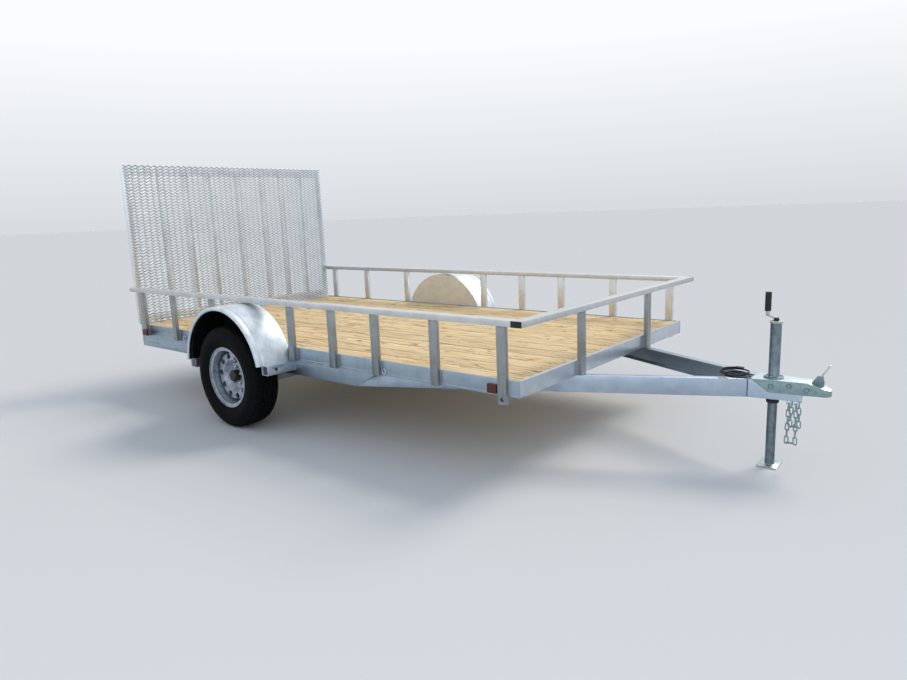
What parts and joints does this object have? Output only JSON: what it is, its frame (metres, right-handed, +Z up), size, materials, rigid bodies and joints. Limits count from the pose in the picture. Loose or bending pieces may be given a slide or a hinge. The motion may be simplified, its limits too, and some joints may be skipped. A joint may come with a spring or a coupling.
{
  "type": "utility trailer",
  "caption": "Open single-axle aluminium utility trailer with a wood deck, side rails, rear mesh ramp gate, tongue jack and ball coupler.",
  "frame": {"origin": "on the ground, under the middle of the trailer's overall length and width", "axes": "+X forward to the coupler, +Y to the trailer's left side, +Z up"},
  "size_m": [4.819, 2.454, 1.783],
  "materials": {
    "frame_aluminium": "mill finish",
    "rail_aluminium": "mill finish",
    "gate_aluminium": "mill finish",
    "fender_aluminium": "bright smooth",
    "pine": "sawn, treated",
    "axle_steel": "galvanised",
    "tyre_rubber": "matt",
    "wheel_paint": "silver paint",
    "hub_paint": "black paint",
    "zinc_plate": "zinc plate",
    "black_plastic": "moulded",
    "black_rubber": "extruded",
    "amber_lens": "moulded lens",
    "red_lens": "moulded lens"
  },
  "bodies": {
    "trailer": {"side_rail_left": "frame_aluminium", "side_rail_right": "frame_aluminium", "end_rails": "frame_aluminium", "lower_rails": "frame_aluminium", "tongue_left": "frame_aluminium", "tongue_right": "frame_aluminium", "tongue_tip": "frame_aluminium", "crossmembers": "frame_aluminium", "fender_steps": "frame_aluminium", "gate_ears": "frame_aluminium", "tie_rings": "frame_aluminium", "posts_left": "rail_aluminium", "posts_right": "rail_aluminium", "posts_front": "rail_aluminium", "top_rails": "rail_aluminium", "top_rail_front": "rail_aluminium", "fender_left": "fender_aluminium", "fender_right": "fender_aluminium", "deck_boards": "pine", "axle_beam": "axle_steel", "axle_arms": "axle_steel", "coupler": "zinc_plate", "coupler_latch": "zinc_plate", "jack_tube": "zinc_plate", "jack_crank": "zinc_plate", "safety_chains": "zinc_plate", "rail_caps": "black_plastic", "jack_grip": "black_plastic", "lead_plug": "black_plastic", "lead_gland": "black_rubber", "lead_run": "black_rubber", "lead_coil": "black_rubber", "side_markers": "amber_lens", "tail_lamps": "red_lens"},
    "wheel_left": {"tyre_left": "tyre_rubber", "rim_left": "wheel_paint", "hub_left": "hub_paint"},
    "wheel_right": {"tyre_right": "tyre_rubber", "rim_right": "wheel_paint", "hub_right": "hub_paint"},
    "gate": {"gate_frame": "gate_aluminium", "gate_bars": "gate_aluminium", "gate_mesh": "gate_aluminium", "gate_pins": "axle_steel"},
    "jack_leg": {"jack_leg": "zinc_plate"}
  },
  "joints": [
    {"name": "wheel_left_spin", "type": "hinge", "parent": "trailer", "child": "wheel_left", "pos_m": [-0.8365, 1.11, 0.3315], "axis": [0, 1, 0], "continuous": true},
    {"name": "wheel_right_spin", "type": "hinge", "parent": "trailer", "child": "wheel_right", "pos_m": [-0.8365, -1.11, 0.3315], "axis": [0, 1, 0], "continuous": true},
    {"name": "gate_fold", "type": "hinge", "parent": "trailer", "child": "gate", "pos_m": [-2.392, 0, 0.513], "axis": [0, -1, 0], "range_deg": [0, 112]},
    {"name": "jack_slide", "type": "slide", "parent": "trailer", "child": "jack_leg", "axis": [0, 0, 1], "range_m": [0, 0.3]}
  ]
}
